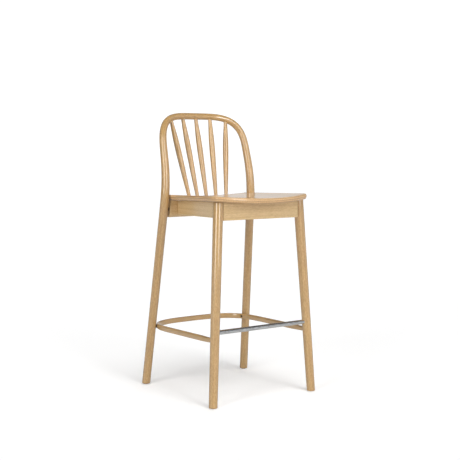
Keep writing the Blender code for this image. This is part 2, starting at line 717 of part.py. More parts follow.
def build_spacer(name, start, direction, length, hole):
    """Black washer with a hole for its screw or stud."""
    near, far = GAP, length - SLANT_ROOM
    rings = ((near, SPACER_RADIUS), (far, SPACER_RADIUS), (far, hole), (near, hole))
    along, across, up = axes_for(direction)
    loops = [circle(np.asarray(start) + d * along, across, up, r, 16) for d, r in rings]
    return add_piece(name, loft(loops, closed=True), BLACK_NYLON)


def block_corner(place, side):
    """Inner corner of the seat frame and unit directions along its two rails."""
    front, rear = side_rail_line(side)
    along = (rear - front) / np.linalg.norm(rear - front)
    inward = np.array((-side * along[1], side * along[0]))
    face = front + inward * (RAIL_THICKNESS / 2 + GAP)
    if place == "front":
        y = FRONT_RAIL_Y + RAIL_THICKNESS / 2 + GAP
    else:
        y = REAR_RAIL_Y - RAIL_THICKNESS / 2 - GAP
        along = -along
    corner = face + (rear - front) / (rear - front)[1] * (y - face[1])
    return corner, np.array((-side, 0.0)), along, inward


def build_block(place, side):
    """Corner block: an upright triangular prism glued and screwed in the corner."""
    corner, across, along, _ = block_corner(place, side)
    plan = [corner + across * BLOCK_BEVEL, corner + across * BLOCK_LEG,
            corner + along * BLOCK_LEG, corner + along * BLOCK_BEVEL]
    loops = [[(x, y, underside(x, y) - drop) for x, y in plan] for drop in (BLOCK_HEIGHT, GAP)]
    piece = add_piece(place + "_corner_block" + SIDE[side], loft(loops), OAK_EDGE)
    for kind in ("end", "side"):
        cut(piece, block_screw_shape(place, kind, side, CUT_GAP), kind + "_screw_cutter")
    cut(piece, seat_screw_shape(place, side, CUT_GAP), "seat_screw_cutter")
    return piece


def block_screw_shape(place, kind, side, extra):
    """Screw through a corner block, square into the end rail or the side rail."""
    corner, across, along, inward = block_corner(place, side)
    spot = corner + 0.5 * BLOCK_LEG * (across if kind == "end" else along)
    toward = np.array((0.0, -1.0 if place == "front" else 1.0)) if kind == "end" else -inward
    z = underside(*spot) - BLOCK_SCREW_DROP[kind]
    length = BLOCK_SCREW_BEHIND + BLOCK_SCREW_DEPTH[kind]
    start = np.array((*(spot - toward * BLOCK_SCREW_BEHIND), z))
    return screw_shape(start, (*toward, 0.0), length, extra)


def screw_shape(start, direction, length, extra):
    """Round-headed screw; with extra clearance, the hole for it, open behind the head."""
    radius, height = SCREW_HEAD
    open_end = -1.5 * OVERRUN if extra else 0.0
    stations = ((open_end, radius + extra), (height + extra, radius + extra),
                (height + extra, SCREW_RADIUS + extra), (length + extra, SCREW_RADIUS + extra))
    return turned(start, direction, stations, 10)


def cut_block_screws(piece, place, kind, only=None):
    for side in (-1, 1):
        if only in (None, side):
            cut(piece, block_screw_shape(place, kind, side, CUT_GAP),
                "_".join((place, kind, "screw")) + SIDE[side])


def seat_screw_shape(place, side, extra):
    """Screw from a corner block's underside up into the seat."""
    corner, across, along, _ = block_corner(place, side)
    spot = corner + SEAT_SCREW_PLACE * BLOCK_LEG * (across + along)
    z = underside(*spot) - BLOCK_HEIGHT + SEAT_SCREW_SUNK
    return screw_shape((*spot, z), (0, 0, 1), SEAT_SCREW_LENGTH, extra)


def main():
    clear_scene()
    build_hoop()
    build_seat()
    build_front_rail()
    build_rear_rail()
    build_ring()
    add_piece("footrest_bar", bar_shape(0.0), POLISHED_STEEL)
    for k, (base, top) in enumerate(spindle_axes()):
        build_spindle(k, base, top)
    for side in (-1, 1):
        name = SIDE[side]
        build_front_leg(side)
        build_side_rail(side)
        build_glide("front_glide" + name, side * FRONT_FOOT[0], FRONT_FOOT[1])
        build_glide("rear_glide" + name, side * REAR_FOOT[0], REAR_FOOT[1])
        add_piece("frame_stud" + name, stud_shape(side, 0.0), ZINC)
        nut = add_piece("barrel_nut" + name, nut_shape(side, 0.0), ZINC)
        cut(nut, stud_shape(side, CUT_GAP), "nut_thread" + name)
        leg_face, rail_end, y, z = stud_ends(side)
        build_spacer("frame_spacer" + name, (rail_end + side * SLANT_ROOM, y, z), (side, 0, 0),
                     abs(leg_face - rail_end) - SLANT_ROOM, STUD_RADIUS + CUT_GAP)
        add_piece("ring_screw" + name, ring_screw_shape(side, 0.0), ZINC)
        centre, leg, outward = ring_frame(side)
        room = np.linalg.norm((leg - centre)[:2]) - float(rod_radius(leg[2])) - RING_SECTION[0]
        build_spacer("ring_spacer" + name, centre + outward * RING_SECTION[0], outward,
                     float(room), SCREW_RADIUS + CUT_GAP)
    for place, side in CORNERS:
        build_block(place, side)
        tail = SIDE[side]
        add_piece(place + "_seat_screw" + tail, seat_screw_shape(place, side, 0.0), ZINC)
        for kind in ("end", "side"):
            add_piece("_".join((place, kind, "block_screw")) + tail,
                      block_screw_shape(place, kind, side, 0.0), ZINC)


main()
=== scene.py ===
"""Looks of the bar stool: bent and turned wood, a pressed seat and a steel footrest bar.

Every wooden piece carries a "stock" attribute, its place in the straight length of timber
it was bent, turned or sawn from, so the grain runs along the piece and round its bends.
"""
import math

import bpy
import numpy as np
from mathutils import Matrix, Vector


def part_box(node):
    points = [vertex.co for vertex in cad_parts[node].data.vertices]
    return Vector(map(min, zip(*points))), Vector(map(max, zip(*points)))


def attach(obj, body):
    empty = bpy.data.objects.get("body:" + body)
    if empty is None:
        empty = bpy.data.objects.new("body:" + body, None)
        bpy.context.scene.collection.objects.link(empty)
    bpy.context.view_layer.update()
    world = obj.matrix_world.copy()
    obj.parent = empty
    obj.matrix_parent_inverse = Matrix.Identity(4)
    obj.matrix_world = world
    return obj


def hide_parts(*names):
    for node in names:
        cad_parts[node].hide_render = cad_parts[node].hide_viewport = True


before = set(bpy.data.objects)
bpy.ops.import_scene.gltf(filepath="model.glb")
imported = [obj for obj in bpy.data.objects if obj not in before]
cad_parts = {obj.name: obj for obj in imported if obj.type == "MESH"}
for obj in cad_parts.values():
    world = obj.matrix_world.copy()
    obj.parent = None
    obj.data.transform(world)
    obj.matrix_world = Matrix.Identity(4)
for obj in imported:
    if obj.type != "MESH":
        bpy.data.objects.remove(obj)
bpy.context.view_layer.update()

FULL_TURN = 2 * math.pi
SIDE = {-1: "_left", 1: "_right"}

# ---- sizes of the design, in metres -----------------------------------------
FALL = math.tan(math.radians(1.0))      # the seat and the ring fall to the rear

ROD_RADII = ((0.0, 0.0164), (0.76, 0.0169), (0.93, 0.0147), (1.07, 0.0131))
ROD_FOOT = (0.2397, 0.2332)             # axis of a rear foot on the floor
ROD_LEAN = -0.0463                      # how X changes for each metre of height
RAKE = math.radians(7.4)                # the rear legs lean forward going up
RECLINE = math.radians(14.0)            # the back leans rearward
WAIST_HEIGHT = 0.785
WAIST_RADIUS = 0.46
ARCH_START = 0.930
ARCH_TOP = 1.068
ARCH_POWERS = (4.1, 3.0)                # squareness of the arch sideways and upward
BACK_BOW = 0.044                        # how far the arch bows rearward

LEG_FOOT = (0.2286, -0.2332)
LEG_LEAN = (-0.0594, 0.0412)
LEG_RADII = (0.0162, 0.0191)            # at the floor and at the seat's height
FOOT_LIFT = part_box("front_leg_left")[0][2]
LEG_INTO_SEAT = 0.004                   # how far each leg's top runs up into the seat
FOOT_ROUND = 0.0030                     # rounded edge of every foot
FEET_LEVEL_BELOW = 0.05                 # height under which the rod's sections turn level

SEAT_HEIGHT = 0.7525
SEAT_THICK = 0.020
SEAT_DISH = 0.0105
DISH_HALF_WIDTH = 0.205
SEAT_HALF_WIDTH = 0.214
SEAT_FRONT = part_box("seat_panel")[0][1]
SEAT_REAR = 0.176
SEAT_REAR_RADIUS = 0.60
SEAT_CORNER = (0.035, -0.205)           # radius, and Y of its centre
POST_NOTCH = (0.023, 234, 142)          # radius, and the arc's first and last degrees
POST_TIP_INSET = 0.015
SEAT_MIDDLE = np.array((0.0, -0.05))
SEAT_TOP_ROUND = 0.0045
SEAT_BOTTOM_ROUND = 0.0055
SEAT_EDGE_CROWN = 0.0012                # how far the edge swells at its middle
SEAT_ROWS = 33                          # from the edge to the middle, above and below
SEAT_POLE = 0.03                        # size of the last row, as a share of the first

RAIL_THICK = 0.020
RAIL_ROUND = 0.0018                     # softened arrises of the rails
RAIL_ROW = RAIL_ROUND + 0.001           # a row on the flat beside each arris keeps it flat
END_RAIL_LOW = 0.6737
SIDE_RAIL_LOW = 0.6827
FRONT_RAIL_Y = -0.2075
REAR_RAIL_Y = 0.141
REAR_RAIL_HALF = (0.1880, 0.1835)
SIDE_RAIL_FRONT = (0.176, -0.186)
SIDE_RAIL_REAR = 0.141
FRONT_RAIL_SEAM = 0.0176                # from a leg's axis to the rail's end: a fine open seam
TOUCH = 0.0003                          # clearance where two pieces meet

RING_HEIGHT = 0.2385
RING_HALF_WIDTH = 0.2175
RING_STRAIGHT_END = 0.090
RING_DEPTH = 0.1865
RING_POWER = 3.0
RING_FRONT = (0.2125, -0.2130)
RING_HALF = (0.0068, 0.0104)            # half thickness and half height
RING_END_HALF_HEIGHT = 0.0082
RING_TAPER = 0.075                      # length over which the arms thin to their ends
RING_SQUARENESS = 3.2                   # of its section: 2 is an ellipse
SCREW_HEAD = 0.0014                     # half the thickness of a ring screw's head
BORE_CLEARANCE = 0.0004                 # round the head, in its counterbore
BORE_REACH = 0.03                       # how far the cutter runs out of the ring

BAR_RADIUS = 0.0086
BAR_EDGE = 0.001

SPINDLES = 5
SPINDLE_BASE = (0.0445, 0.1562, 0.0027)     # step, Y, and how Y bows with the step
SPINDLE_TOP_STEP = 0.0658
SPINDLE_SHAPE = ((0.0, 0.0070), (0.12, 0.0080), (0.32, 0.0100), (0.55, 0.01145),
                 (0.72, 0.0108), (0.84, 0.0090), (0.925, 0.0072), (1.0, 0.0072))
SPINDLE_SUNK = 0.004                    # how far each end runs into the seat and the rod
SPINDLE_SMOOTHING = 13                  # stations over which its radii are averaged

LAYER = 0.0074                          # thickness of a pair of pressed layers
FIRST_LAYER = 0.0027                    # depth of the first dark one's middle
PITH = ((0.030, -0.060), (0.070, -0.025))   # where the pith may lie off a piece's axis

# ---- fineness: rings along a piece, and sides round it ------------------------
ROD_GRID = (620, 56)
LEG_GRID = (90, 64)
SPINDLE_GRID = (120, 40)
RING_GRID = (520, 44)
BAR_GRID = (120, 64)
GLIDE_SIDES = 48
BORE_SIDES = 40
RAIL_RINGS = 60
SEAT_SIDES = 400
EDGE_ROWS = 8                           # rows round a softened edge

# ---- colours: pale and deep timber for each kind of piece ---------------------
ROUND_WOOD = ((0.620, 0.402, 0.170, 1.0), (0.350, 0.188, 0.057, 1.0))
SAWN_WOOD = ((0.79, 0.575, 0.300, 1.0), (0.56, 0.365, 0.160, 1.0))
SEAT_VENEER = ((0.80, 0.535, 0.285, 1.0), (0.56, 0.345, 0.158, 1.0))
PORE = (0.28, 0.140, 0.048, 1.0)
EDGE_LINE = (0.33, 0.170, 0.078, 1.0)
DULL_STEEL, BRIGHT_STEEL = (0.44, 0.45, 0.46, 1.0), (0.72, 0.73, 0.74, 1.0)

# ---- setting: bearings are in degrees from +X towards +Y ----------------------
CAMERA_PLACE = (-2.1545, -3.1167, 0.9364)
CAMERA_TURN = (85.35, 0.0, -34.75)      # in degrees: tipped a little down, facing the stool
CAMERA_LENS = 76.34
CAMERA_SHIFT = -0.0037
FLOOR_HALF = 40.0
DIM = 0.13                              # the surround where no lamp is
LAMPS = (                               # bearing, half width, ceiling, strength
    (316.0, 0.65, 0.55, 0.52),          # a pale wall to the right of the camera
    (270.0, 0.12, 0.60, 7.2),           # an upright soft box on its right
    (201.0, 0.13, 0.60, 6.9),           # and one on its left
    (55.3, 0.40, 0.16, 0.66))           # a low backdrop behind the stool


# ---- curves -------------------------------------------------------------------
def seat_top(x, y):
    """Seat height: a parabola across the width, less the fall to the rear."""
    return SEAT_HEIGHT + SEAT_DISH * (x / DISH_HALF_WIDTH) ** 2 - FALL * y


def seat_underside(x, y):
    """Height the rails rise to: the seat's top less its thickness and a fine clearance."""
    return seat_top(x, y) - SEAT_THICK - TOUCH


def rod_side_y(z):
    """Side view of the rod: a raked line, a waist arc, then a reclined line."""
    low = WAIST_HEIGHT - WAIST_RADIUS * math.sin(RAKE)
    high = WAIST_HEIGHT + WAIST_RADIUS * math.sin(RECLINE)
    waist_y = ROD_FOOT[1] - low * math.tan(RAKE) - WAIST_RADIUS * (1 - math.cos(RAKE))
    inside = np.clip((z - WAIST_HEIGHT) / WAIST_RADIUS, -0.99, 0.99)
    waist = waist_y + WAIST_RADIUS * (1 - np.sqrt(1 - inside ** 2))
    above = waist_y + WAIST_RADIUS * (1 - math.cos(RECLINE)) + (z - high) * math.tan(RECLINE)
    return np.where(z < low, ROD_FOOT[1] - z * math.tan(RAKE), np.where(z > high, above, waist))


def rod_radius(z):
    """Radius of the bent rod at a height: its marked radii joined in straight lines."""
    heights, radii = zip(*ROD_RADII)
    return np.interp(z, heights, radii)


def half_rod():
    """+X half of the rod: a leaning line, then a superellipse quarter bowed rearward."""
    side_power, rise_power = ARCH_POWERS
    leg_steps, arch_steps = 400, 900
    turn = np.linspace(0.0, math.pi / 2, arch_steps)[1:]
    rise = (ARCH_TOP - ARCH_START) * np.sin(turn) ** (2 / rise_power)
    z = np.concatenate((np.linspace(0.0, ARCH_START, leg_steps), ARCH_START + rise))
    inward = np.concatenate((np.ones(leg_steps), np.cos(turn) ** (2 / side_power)))
    inward[-1] = 0.0
    y = rod_side_y(z) + BACK_BOW * (1 - inward ** 2)
    return np.stack(((ROD_FOOT[0] + ROD_LEAN * z) * inward, y, z), axis=1)


def half_ring():
    """+X half of the ring: a straight arm, then a superellipse quarter, falling rearward."""
    arm_steps, bend_steps = 200, 700
    share = np.linspace(0.0, 1.0, arm_steps)[:-1, None]
    front, bend = np.array(RING_FRONT), np.array((RING_HALF_WIDTH, RING_STRAIGHT_END))
    turn = np.linspace(0.0, math.pi / 2, bend_steps)
    across = RING_HALF_WIDTH * np.cos(turn) ** (2 / RING_POWER)
    across[-1] = 0.0
    back = RING_STRAIGHT_END + RING_DEPTH * np.sin(turn) ** (2 / RING_POWER)
    plan = np.concatenate((front + (bend - front) * share, np.stack((across, back), axis=1)))
    return np.column_stack((plan, RING_HEIGHT - FALL * plan[:, 1]))


def mirrored(half):
    """A half path that ends on X = 0, joined to its mirror image."""
    flip = np.array((-1.0, 1.0, 1.0))[:half.shape[1]]
    return np.concatenate((half, half[::-1][1:] * flip))


def sampled(path, lengths):
    """Points of the path at the given distances along it."""
    steps = np.linalg.norm(np.diff(path, axis=0), axis=1)
    reached = np.concatenate(((0.0,), np.cumsum(steps)))
    return np.stack([np.interp(lengths, reached, column) for column in path.T], axis=1)


def run_length(path):
    """Length of a path: the sum of its straight steps."""
    return float(np.linalg.norm(np.diff(path, axis=0), axis=1).sum())


def unit(vectors):
    """The vectors, each divided by its length."""
    return vectors / np.linalg.norm(vectors, axis=-1, keepdims=True)


# ---- surfaces -----------------------------------------------------------------
def carried(path, across, up, section):
    """Rings of a section carried along a path: point = path + a * across + b * up."""
    return (path[:, None] + section[..., 0:1] * across[:, None] + section[..., 1:2] * up[:, None])


def round_section(radii, sides):
    """A circle of each ring's radius, as (a, b) offsets."""
    turn = np.arange(sides) * FULL_TURN / sides
    circle = np.stack((np.cos(turn), np.sin(turn)), axis=1)
    return np.asarray(radii)[:, None, None] * circle


def stock_of(lengths, section, seed):
    """Place in the straight timber: length along it, and the section's offsets from a far pith."""
    pith = np.random.default_rng(seed).uniform(*PITH)
    start = np.random.default_rng(seed + 500).uniform(0.0, 20.0)
    along = np.broadcast_to((np.asarray(lengths) + start)[:, None, None], section[..., :1].shape)
    return np.concatenate((along, section + pith), axis=2)


def ring_faces(rings):
    """The rings' point numbers, and the quads between each ring and the next."""
    count, sides = rings.shape[:2]
    index = np.arange(count * sides).reshape(count, sides)
    low, high = index[:-1], index[1:]
    quads = np.stack((low, np.roll(low, -1, 1), np.roll(high, -1, 1), high), -1).reshape(-1, 4)
    return index, quads


def skinned(name, rings, stock, finish, slot_name, *replaced):
    """A closed mesh over rings of points: quads between rings, and a fan to a middle point at
    each end."""
    index, quads = ring_faces(rings)
    points = np.concatenate((rings.reshape(-1, 3), rings[:1].mean(1), rings[-1:].mean(1)))
    marks = np.concatenate((stock.reshape(-1, 3), stock[:1].mean(1), stock[-1:].mean(1)))
    first, last = index[0], index[-1]
    start_fan = np.stack((np.roll(first, -1), first, np.full_like(first, index.size)), 1)
    end_fan = np.stack((last, np.roll(last, -1), np.full_like(last, index.size + 1)), 1)
    mesh = bpy.data.meshes.new(name)
    mesh.from_pydata(points.tolist(), [], quads.tolist() + start_fan.tolist() + end_fan.tolist())
    stock_held = mesh.attributes.new("stock", "FLOAT_VECTOR", "POINT")
    stock_held.data.foreach_set("vector", marks.astype(np.float32).ravel())
    mesh.materials.append(finish)
    mesh.shade_smooth()
    if signed_volume(points, quads) < 0:
        mesh.flip_normals()
    piece = bpy.data.objects.new(name, mesh)
    bpy.context.scene.collection.objects.link(piece)
    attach(piece, "root")
    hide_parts(*replaced)
    return piece


def signed_volume(points, quads):
    """Six times the volume between the quads and the middle: negative if inside out."""
    centre = points.mean(0)
    a, b, c, d = (points[quads[:, k]] - centre for k in range(4))
    return float((np.cross(a, b) * c).sum() + (np.cross(a, c) * d).sum())


def stations(length, edge, count):
    """Distances along a piece, bunched over a rounded edge at both of its ends."""
    turn = np.linspace(0.0, math.pi / 2, EDGE_ROWS)
    rounding = edge * (1 - np.cos(turn))
    middle = np.linspace(edge, length - edge, count)[1:-1]
    return np.concatenate((rounding, middle, length - rounding[::-1]))


def eased(lengths, radii, edge):
    """Radii less a quarter-circle rounding: edge * (1 - sqrt(1 - gone squared)), where gone
    falls from 1 at either end to 0 at the edge's own radius from it."""
    to_end = np.minimum(lengths - lengths[0], lengths[-1] - lengths)
    gone = 1 - np.clip(to_end / edge, 0.0, 1.0)
    return radii - edge * (1 - np.sqrt(1 - gone ** 2))


def turned(name, start, direction, profile, sides, seed, finish, slot_name, *replaced):
    """A turned piece: the profile's lengths and radii as circles square to a straight axis."""
    lengths, radii = (np.asarray(part, float) for part in profile)
    along = unit(np.asarray(direction, float))
    helper = np.array((0.0, 0.0, 1.0) if abs(along[2]) < 0.9 else (1.0, 0.0, 0.0))
    across = unit(np.cross(helper, along))
    up = np.cross(along, across)
    path = np.asarray(start, float) + lengths[:, None] * along
    section = round_section(radii, sides)
    rings = carried(path, np.tile(across, (len(path), 1)), np.tile(up, (len(path), 1)), section)
    return skinned(name, rings, stock_of(lengths, section, seed), finish, slot_name, *replaced)


# ---- wooden pieces --------------------------------------------------------------
def bent_rod(finish):
    """Rear legs and back: a circle carried along the rod's path, flat on the floor at its feet.

    Across stays in the plane of the arch and up is square to it. Near the floor both lose
    their rise, so that the feet are level.
    """
    half = half_rod()
    path = mirrored(half[half[:, 2] >= FOOT_LIFT])
    count, sides = ROD_GRID
    lengths = stations(run_length(path), FOOT_ROUND, count)
    path = sampled(path, lengths)
    tangent = unit(np.gradient(path, axis=0))
    across = unit(np.cross(np.array((0.0, 1.0, 0.0)), tangent))
    up = np.cross(tangent, across)
    level = np.clip(path[:, 2] / FEET_LEVEL_BELOW, 0.0, 1.0)
    across[:, 2] *= level
    up[:, 2] *= level
    section = round_section(eased(lengths, rod_radius(path[:, 2]), FOOT_ROUND), sides)
    return skinned("bent_rod", carried(path, across, up, section),
                   stock_of(lengths, section, 1), finish, "bent_wood", "bent_hoop_frame")


def leg_axis(side, z):
    """Axis of a front leg at a height: its foot, moved by the lean times the height."""
    (foot_x, foot_y), (lean_x, lean_y) = LEG_FOOT, LEG_LEAN
    return np.stack((side * (foot_x + lean_x * z), foot_y + lean_y * z, z), -1)


def front_leg(side, finish):
    """A tapering leg: level circles about its leaning axis, rounded at the foot."""
    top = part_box("front_leg" + SIDE[side])[1][2] + LEG_INTO_SEAT
    count, sides = LEG_GRID
    z = FOOT_LIFT + stations(top - FOOT_LIFT, FOOT_ROUND, count)
    low, high = LEG_RADII
    section = round_section(eased(z, low + (high - low) * z / SEAT_HEIGHT, FOOT_ROUND), sides)
    flat = np.tile(np.eye(3)[:2], (len(z), 1, 1))
    rings = carried(leg_axis(side, z), flat[:, 0], flat[:, 1], section)
    return skinned("turned_leg" + SIDE[side], rings, stock_of(z, section, 20 + side), finish,
                   "turned_wood", "front_leg" + SIDE[side])


def spindle_axes():
    """Foot of each spindle on the seat and its top on the rod's centre line."""
    step, base_y, bow = SPINDLE_BASE
    rod = half_rod()
    arch = rod[rod[:, 2] > ARCH_START][::-1]
    place = np.arange(SPINDLES) - (SPINDLES - 1) / 2
    base_x, base_y = step * place, base_y - bow * place ** 2
    base = np.stack((base_x, base_y, seat_top(base_x, base_y)), axis=1)
    reach = SPINDLE_TOP_STEP * np.abs(place)
    top = np.stack([np.interp(reach, arch[:, 0], arch[:, k]) for k in range(3)], axis=1)
    top[:, 0] = SPINDLE_TOP_STEP * place
    return zip(base, top)


def spindle(number, base, top, finish):
    """A turned spindle: its marked radii joined in straight lines, then averaged over a
    sliding stretch, so that the swelling has no corners."""
    whole = float(np.linalg.norm(top - base))
    end = whole - float(rod_radius(top[2])) + SPINDLE_SUNK
    count, sides = SPINDLE_GRID
    lengths = np.linspace(-SPINDLE_SUNK, end, count)
    shares, radii = zip(*SPINDLE_SHAPE)
    marked = np.interp(lengths / whole, shares, radii)
    padded = np.pad(marked, SPINDLE_SMOOTHING // 2, mode="edge")
    smooth = np.convolve(padded, np.full(SPINDLE_SMOOTHING, 1 / SPINDLE_SMOOTHING), mode="valid")
    return turned("turned_spindle_%d" % number, base, top - base, (lengths, smooth), sides,
                  40 + number, finish, "turned_wood", "spindle_%d" % number)


def rounded_bar_section(half_width, half_height, sides):
    """A superellipse: a to the power p, plus b to the power p, is one, in half sizes."""
    turn = np.arange(sides) * FULL_TURN / sides
    power = 2 / RING_SQUARENESS
    a = half_width * np.sign(np.cos(turn)) * np.abs(np.cos(turn)) ** power
    b = np.sign(np.sin(turn)) * np.abs(np.sin(turn)) ** power
    return np.stack((np.broadcast_to(a, (len(half_height), sides)), half_height[:, None] * b), -1)


def stretcher(finish):
    """The ring: an upright rounded section carried round it, thinner in height at its ends."""
    path = mirrored(half_ring())
    length = run_length(path)
    count, sides = RING_GRID
    lengths = np.linspace(0.0, length, count)
    path = sampled(path, lengths)
    to_end = np.minimum(lengths, length - lengths)
    share = np.clip(to_end / RING_TAPER, 0.0, 1.0)
    half_height = RING_END_HALF_HEIGHT + (RING_HALF[1] - RING_END_HALF_HEIGHT) * share
    upright = np.tile((0.0, 0.0, 1.0), (len(path), 1))
    across = unit(np.cross(np.gradient(path, axis=0), upright))
    section = rounded_bar_section(RING_HALF[0], half_height, sides)
    ring = skinned("bent_ring", carried(path, across, upright, section),
                   stock_of(lengths, section, 3), finish, "bent_wood", "stretcher_ring")
    for side in SIDE:
        bore(ring, "ring_screw" + SIDE[side])
    return ring


def bore(piece, screw):
    """Sinks the open counterbore of a screw into the piece, along the screw's own axis."""
    points = vertices_of(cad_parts[screw])
    centre = points.mean(0)
    axis = unit(np.linalg.svd(points - centre, full_matrices=False)[2][0])
    along = (points - centre) @ axis
    radius = np.linalg.norm(points - centre - along[:, None] * axis, axis=1)
    head_at = along[radius > 0.9 * radius.max()].mean()
    axis = axis * (1 if head_at > 0 else -1)
    head_base = centre + axis * (abs(head_at) - SCREW_HEAD)
    wide = float(radius.max()) + BORE_CLEARANCE
    across = unit(np.cross(axis, (0.0, 0.0, 1.0)))
    up = np.cross(axis, across)
    path = head_base + np.array((0.0, BORE_REACH))[:, None] * axis
    rings = carried(path, np.tile(across, (2, 1)), np.tile(up, (2, 1)),
                    round_section(np.full(2, wide), BORE_SIDES))
    cutter = cutter_of(screw + "_cutter", rings)
    boolean = piece.modifiers.new("counterbore", "BOOLEAN")
    boolean.operation = "DIFFERENCE"
    boolean.object = cutter
    graph = bpy.context.evaluated_depsgraph_get()
    cut_mesh = bpy.data.meshes.new_from_object(piece.evaluated_get(graph))
    piece.modifiers.clear()
    piece.data = cut_mesh
    bpy.data.objects.remove(cutter, do_unlink=True)


def vertices_of(piece):
    """An object's vertices, one to a row."""
    held = np.empty(len(piece.data.vertices) * 3, np.float32)
    piece.data.vertices.foreach_get("co", held)
    return held.reshape(-1, 3).astype(float)


def cutter_of(name, rings):
    """A plain closed skin over the rings, with flat ends, for a Boolean to cut with."""
    index, quads = ring_faces(rings)
    mesh = bpy.data.meshes.new(name)
    mesh.from_pydata(rings.reshape(-1, 3).tolist(), [],
                     quads.tolist() + [index[0][::-1].tolist(), index[-1].tolist()])
    if signed_volume(rings.reshape(-1, 3), quads) < 0:
        mesh.flip_normals()
    cutter = bpy.data.objects.new(name, mesh)
    bpy.context.scene.collection.objects.link(cutter)
    cutter.hide_render = True
    return cutter


# ---- seat -------------------------------------------------------------------------
def arc(centre, radius, start, end, steps):
    """Points on a circle from one angle in degrees to another, both included."""
    turn = np.radians(np.linspace(start, end, steps + 1))
    return np.stack((centre[0] + radius * np.cos(turn), centre[1] + radius * np.sin(turn)), 1)


def seat_outline(count):
    """Plan of the seat: front arc, corner arcs, straight sides, post notches, rear arc."""
    corner, corner_y = SEAT_CORNER
    corner_x = SEAT_HALF_WIDTH - corner
    drop = corner_y - SEAT_FRONT
    front = (corner_x ** 2 + drop ** 2 - corner ** 2) / (2 * (drop - corner))
    meet = math.degrees(math.atan2(corner_y - SEAT_FRONT - front, corner_x))
    rod = half_rod()
    middle_z = SEAT_HEIGHT - SEAT_THICK / 2
    post = np.array([np.interp(middle_z, rod[:, 2], rod[:, k]) for k in range(2)])
    notch, notch_start, notch_end = POST_NOTCH
    rear_turn = math.degrees(math.asin((post[0] - POST_TIP_INSET) / SEAT_REAR_RADIUS))
    half = np.concatenate((
        arc((0.0, SEAT_FRONT + front), front, -90, meet, 80),
        arc((corner_x, corner_y), corner, meet, 4, 24)[1:],
        arc(post, notch, notch_start, notch_end, 24),
        arc((0.0, SEAT_REAR - SEAT_REAR_RADIUS), SEAT_REAR_RADIUS, 90 - rear_turn, 90, 50)))
    loop = mirrored(half)
    outline = sampled(loop, np.linspace(0.0, run_length(loop), count + 1))[:-1]
    return neighbours_averaged(outline, 2)


def neighbours_averaged(loop, times):
    """Each entry of a closed loop taken half from itself and a quarter from either neighbour,
    that many times over."""
    for _ in range(times):
        loop = 0.25 * np.roll(loop, 1, 0) + 0.5 * loop + 0.25 * np.roll(loop, -1, 0)
    return loop


def rows_to_middle(loop):
    """Rows shrinking from a loop to the seat's middle, each one rounder than the last."""
    rows = []
    for share in np.linspace(1.0, SEAT_POLE, SEAT_ROWS + 1)[1:]:
        loop = neighbours_averaged(loop, 4)
        rows.append(SEAT_MIDDLE + (loop - SEAT_MIDDLE) * share)
    return np.array(rows)


def seat(finish):
    """The panel, from the middle of its underside out, round its edge, and in over its top.

    Round the edge a point lies inset from the outline and at a depth below the top: two
    quarter circles, with a shallow parabola between them. Inside it the rows shrink to the
    middle. Height is the seat's top less the depth.
    """
    outline = seat_outline(SEAT_SIDES)
    ahead = np.roll(outline, -1, 0) - np.roll(outline, 1, 0)
    inward = neighbours_averaged(unit(np.stack((-ahead[:, 1], ahead[:, 0]), axis=1)), 8)
    turn = np.linspace(0.0, math.pi / 2, EDGE_ROWS)
    swell = np.linspace(0.0, 1.0, 9)
    edge_low, edge_high = SEAT_THICK - SEAT_BOTTOM_ROUND, SEAT_TOP_ROUND
    inset = np.concatenate((SEAT_EDGE_CROWN + SEAT_BOTTOM_ROUND * (1 - np.sin(turn)),
                            (SEAT_EDGE_CROWN * (1 - 4 * swell * (1 - swell)))[1:-1],
                            SEAT_EDGE_CROWN + SEAT_TOP_ROUND * (1 - np.cos(turn))))
    depth = np.concatenate((edge_low + SEAT_BOTTOM_ROUND * np.cos(turn),
                            (edge_low + (edge_high - edge_low) * swell)[1:-1],
                            SEAT_TOP_ROUND * (1 - np.sin(turn))))
    edge = outline + inset[:, None, None] * inward
    under, over = rows_to_middle(edge[0])[::-1], rows_to_middle(edge[-1])
    plan = np.concatenate((under, edge, over))
    depths = np.concatenate((np.full(len(under), SEAT_THICK), depth, np.zeros(len(over))))
    height = seat_top(plan[..., 0], plan[..., 1]) - depths[:, None]
    rings = np.concatenate((plan, height[..., None]), axis=2)
    below = np.broadcast_to(depths[:, None], height.shape)
    stock = np.stack((plan[..., 1], plan[..., 0], below), axis=2)
    return skinned("pressed_seat", rings, stock, finish, "seat_wood", "seat_panel")


